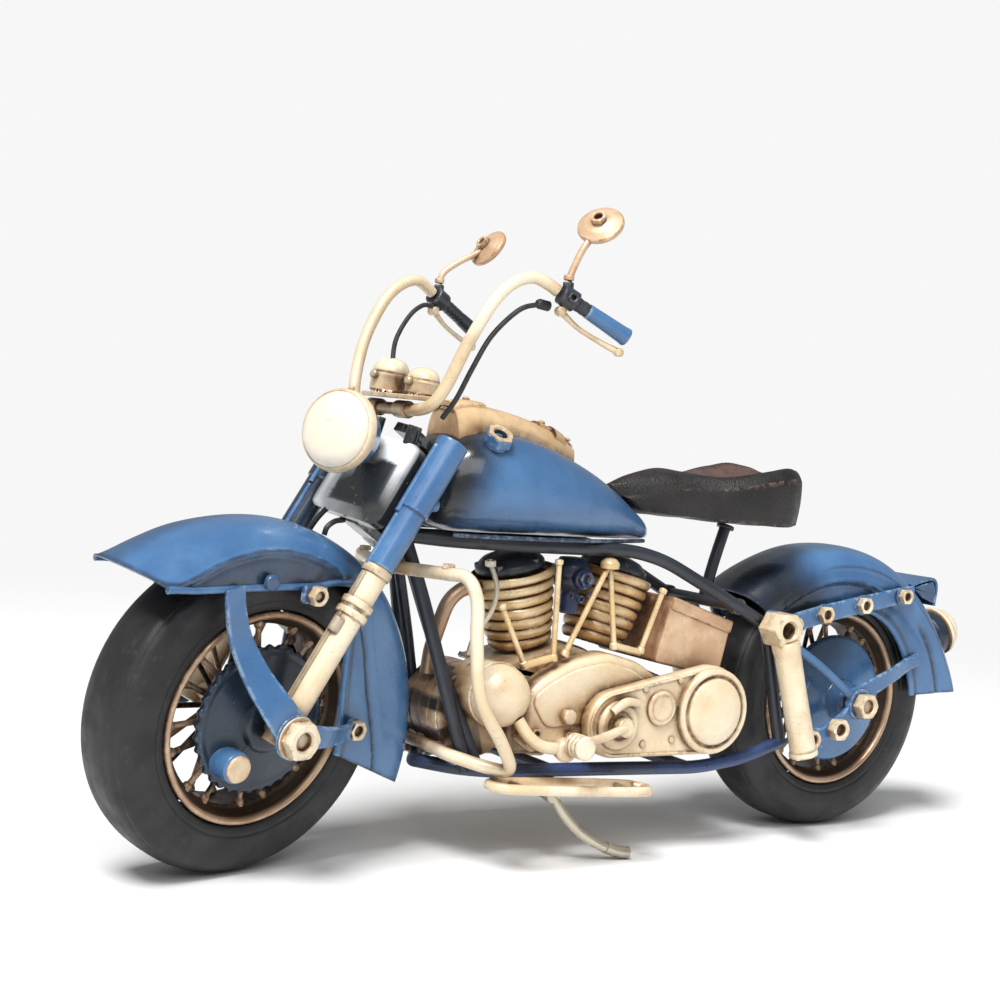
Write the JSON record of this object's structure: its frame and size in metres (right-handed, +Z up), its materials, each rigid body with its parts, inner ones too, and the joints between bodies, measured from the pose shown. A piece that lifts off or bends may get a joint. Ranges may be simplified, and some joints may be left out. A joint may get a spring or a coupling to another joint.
{
  "type": "toy motorcycle",
  "caption": "Handmade tin shelf motorcycle with a V engine, spoked wheels that spin, a fork that steers, a folding stand and tall handlebars with mirrors.",
  "frame": {"origin": "centre of the bounding box's base, on the ground between the two wheels", "axes": "+X forwards, towards the front wheel; +Y the motorcycle's left, where the stand is; +Z up"},
  "size_m": [0.3809, 0.0956, 0.2226],
  "materials": {
    "blue_paint": "worn gloss blue enamel, rubbed at the edges and airbrushed black at the joins",
    "black_paint": "satin charcoal enamel with a faint blue cast",
    "antique_cream": "cream-gold enamel rubbed back to brown in the hollows",
    "bronze": "bronze paint, brushed",
    "tyre": "satin black rubber",
    "saddle": "dark brown, polished at the edges",
    "steel": "plated steel, dulled"
  },
  "bodies": {
    "chassis": {"fuel_tank": "blue_paint", "rear_fender": "blue_paint", "rear_strap_left": "blue_paint", "rear_strap_right": "blue_paint", "rear_arm_left": "blue_paint", "rear_arm_right": "blue_paint", "main_frame": "black_paint", "rocker_front": "black_paint", "rocker_rear": "black_paint", "carburettor": "black_paint", "tank_console": "antique_cream", "filler_cap": "antique_cream", "crankcase": "antique_cream", "generator": "antique_cream", "cylinder_front": "antique_cream", "cylinder_rear": "antique_cream", "primary_cover": "antique_cream", "pushrods_front": "antique_cream", "pushrods_rear": "antique_cream", "oil_tank": "antique_cream", "shift_pedal": "antique_cream", "crash_bar": "antique_cream", "foot_rail_left": "antique_cream", "foot_rail_right": "antique_cream", "tail_lamp": "antique_cream", "shock_left": "antique_cream", "shock_right": "antique_cream", "exhaust_header": "bronze", "seat": "saddle", "oil_line": "steel", "rear_axle": "steel"},
    "fork": {"fork_tube_left": "antique_cream", "fork_tube_right": "antique_cream", "fork_sleeve_left": "blue_paint", "fork_sleeve_right": "blue_paint", "nacelle": "black_paint", "brake_line": "black_paint", "headlight_shell": "blue_paint", "headlight_lens": "antique_cream", "front_drum": "black_paint", "front_axle": "steel", "front_fender": "blue_paint", "front_stay_left": "blue_paint", "front_stay_right": "blue_paint", "handlebar": "antique_cream", "gauge_pair": "antique_cream", "grip_left": "black_paint", "grip_right": "black_paint", "cable_left": "black_paint", "cable_right": "black_paint"},
    "front_wheel": {"front_tyre": "tyre", "front_rim": "bronze"},
    "rear_wheel": {"rear_tyre": "tyre", "rear_rim": "bronze", "rear_disc": "blue_paint"},
    "stand": {"kickstand": "black_paint"},
    "mirror_l": {"mirror_left": "antique_cream"},
    "mirror_r": {"mirror_right": "antique_cream"},
    "lever_l": {"lever_left": "steel"},
    "lever_r": {"lever_right": "steel"}
  },
  "joints": [
    {"name": "steering", "type": "hinge", "parent": "chassis", "child": "fork", "pos_m": [0.07554, 0.00048, 0.128], "axis": [-0.4985, 0, 0.8669], "range_deg": [-39, 9]},
    {"name": "front_wheel_spin", "type": "hinge", "parent": "fork", "child": "front_wheel", "pos_m": [0.13638, 0.00451, 0.05234], "axis": [-0.2244, 0.9659, -0.129], "continuous": true},
    {"name": "rear_wheel_spin", "type": "hinge", "parent": "chassis", "child": "rear_wheel", "pos_m": [-0.11546, 0.00048, 0.052], "axis": [0, 1, 0], "continuous": true},
    {"name": "stand_fold", "type": "hinge", "parent": "chassis", "child": "stand", "pos_m": [0.02634, 0.02208, 0.0234], "axis": [0, 1, 0], "range_deg": [0, 34]},
    {"name": "mirror_left_swivel", "type": "hinge", "parent": "fork", "child": "mirror_l", "pos_m": [0.0484, 0.04007, 0.19675], "axis": [-0.0003, 0.0174, 0.9998], "range_deg": [-20, 20]},
    {"name": "mirror_right_swivel", "type": "hinge", "parent": "fork", "child": "mirror_r", "pos_m": [0.05077, -0.03827, 0.19812], "axis": [-0.0003, 0.0174, 0.9998], "range_deg": [-20, 20]},
    {"name": "lever_left_squeeze", "type": "hinge", "parent": "fork", "child": "lever_l", "pos_m": [0.05021, 0.0395, 0.18659], "axis": [0.2149, 0.9765, -0.0169], "range_deg": [0, 3]},
    {"name": "lever_right_squeeze", "type": "hinge", "parent": "fork", "child": "lever_r", "pos_m": [0.05255, -0.03794, 0.18794], "axis": [-0.2736, 0.9617, -0.0168], "range_deg": [0, 3]}
  ]
}
